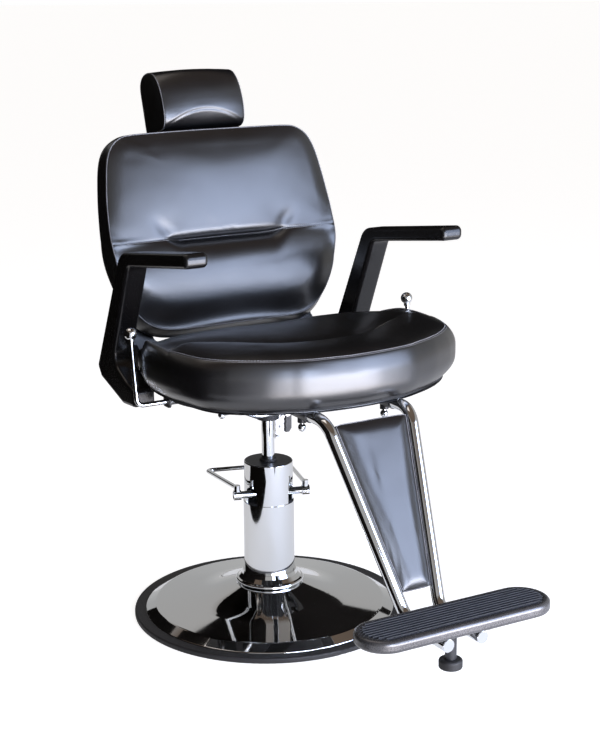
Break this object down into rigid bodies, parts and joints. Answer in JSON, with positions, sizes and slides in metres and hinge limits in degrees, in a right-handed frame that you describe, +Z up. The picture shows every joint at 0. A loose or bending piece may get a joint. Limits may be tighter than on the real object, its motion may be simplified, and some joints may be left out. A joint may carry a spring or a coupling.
{
  "type": "hydraulic barber chair",
  "caption": "Padded reclining chair on a round pedestal with a hydraulic lift, swivel seat, sliding headrest, arms, hand levers and a leg rest with a footplate.",
  "frame": {"origin": "middle of the round base, on the floor, on the axis of the column", "axes": "+Z up, the seat faces -Y, +X towards the sitter's left"},
  "size_m": [0.6915, 1.1497, 1.1626],
  "materials": {
    "ring_rubber": "matte",
    "chrome": "polished",
    "machined_steel": "satin",
    "cast_iron": "matte",
    "black_steel": "satin",
    "black_plastic": "satin",
    "arm_urethane": "satin",
    "black_leather": "satin",
    "covered_board": "matte",
    "footrest_metal": "satin",
    "black_rubber": "matte"
  },
  "bodies": {
    "base": {"floor_ring": "ring_rubber", "base_plate": "chrome", "ballast": "cast_iron", "column_tube": "chrome", "base_collar": "chrome", "column_sleeve": "chrome", "column_cap": "black_plastic", "wiper_seal": "black_rubber", "pump_reservoir": "cast_iron", "pump_cylinder": "machined_steel", "pump_head": "cast_iron"},
    "pump_lever": {"pump_shaft": "machined_steel", "shaft_clamps": "chrome", "pump_loop": "chrome"},
    "pump_plunger": {"plunger": "machined_steel"},
    "lift": {"piston": "chrome", "thrust_washer": "machined_steel", "hub_nut": "machined_steel"},
    "seat": {"swivel_hub": "cast_iron", "seat_plate": "black_steel", "seat_frame": "black_steel", "hub_bolts": "machined_steel", "arm_brackets": "black_steel", "arm_screws": "machined_steel", "seat_board": "covered_board", "seat_cushion": "black_leather", "arm_left": "arm_urethane", "arm_right": "arm_urethane", "pivot_bolts": "machined_steel", "lock_cylinder": "black_steel", "lever_brackets": "black_steel", "brake_plate": "machined_steel", "brake_housing": "black_plastic", "brake_bolts": "machined_steel", "leg_sockets": "black_steel", "socket_bar": "black_steel"},
    "swivel_brake": {"brake_lever": "chrome"},
    "recline_handles": {"recline_lever": "chrome", "lever_knobs": "chrome"},
    "backrest": {"back_cushion": "black_leather", "back_board": "covered_board", "back_frame": "black_steel", "back_screws": "machined_steel", "head_guides": "black_steel"},
    "recline_rod": {"lock_rod": "machined_steel"},
    "headrest": {"head_bar": "chrome", "head_cushion": "black_leather"},
    "leg_rest": {"leg_tube_left": "chrome", "leg_tube_right": "chrome", "calf_pad": "black_leather", "calf_board": "covered_board", "calf_straps": "black_steel", "footrest": "footrest_metal", "footrest_tread": "black_rubber", "footrest_plate": "chrome", "footrest_bolts": "machined_steel", "bumper": "black_rubber"},
    "clamp_left": {"leg_screw_left": "chrome"},
    "clamp_right": {"leg_screw_right": "chrome"}
  },
  "joints": [
    {"name": "pump_pedal", "type": "hinge", "parent": "base", "child": "pump_lever", "pos_m": [-0.00744, -0.02595, 0.28], "axis": [-0.9613, 0.2756, 0], "range_deg": [0, 22], "stiffness_Nm_per_rad": 4, "springref_deg": -34.38},
    {"name": "pump_stroke", "type": "slide", "parent": "base", "child": "pump_plunger", "axis": [0, 0, 1], "range_m": [0, 0.0035]},
    {"name": "seat_lift", "type": "slide", "parent": "base", "child": "lift", "axis": [0, 0, 1], "range_m": [-0.04, 0.115]},
    {"name": "seat_swivel", "type": "hinge", "parent": "lift", "child": "seat", "pos_m": [0, 0, 0.45], "axis": [0, 0, 1], "continuous": true},
    {"name": "brake_press", "type": "hinge", "parent": "seat", "child": "swivel_brake", "pos_m": [0.031, -0.03, 0.457], "axis": [0, -1, 0], "range_deg": [0, 12], "stiffness_Nm_per_rad": 1, "springref_deg": -22.92},
    {"name": "recline_release", "type": "hinge", "parent": "seat", "child": "recline_handles", "pos_m": [0, -0.059, 0.53], "axis": [-1, 0, 0], "range_deg": [0, 12], "stiffness_Nm_per_rad": 2, "springref_deg": -22.92},
    {"name": "back_recline", "type": "hinge", "parent": "seat", "child": "backrest", "pos_m": [0, 0.15, 0.548], "axis": [-1, 0, 0], "range_deg": [0, 45]},
    {"name": "lock_slide", "type": "slide", "parent": "seat", "child": "recline_rod", "axis": [0, -1, 0], "range_m": [0, 0.0385]},
    {"name": "headrest_height", "type": "slide", "parent": "backrest", "child": "headrest", "axis": [0, 0.2924, 0.9563], "range_m": [0, 0.08]},
    {"name": "leg_rest_reach", "type": "slide", "parent": "seat", "child": "leg_rest", "axis": [0, -1, 0], "range_m": [-0.02, 0.08]},
    {"name": "clamp_left_turn", "type": "hinge", "parent": "seat", "child": "clamp_left", "pos_m": [0.096, -0.314, 0.52], "axis": [0, 0, 1], "range_deg": [-90, 90]},
    {"name": "clamp_right_turn", "type": "hinge", "parent": "seat", "child": "clamp_right", "pos_m": [-0.096, -0.314, 0.52], "axis": [0, 0, 1], "range_deg": [-90, 90]}
  ],
  "couplings": [
    {"joint": "pump_stroke", "follows": "pump_pedal", "m_per_rad": 0.008},
    {"joint": "lock_slide", "follows": "back_recline", "m_per_rad": 0.04873}
  ]
}
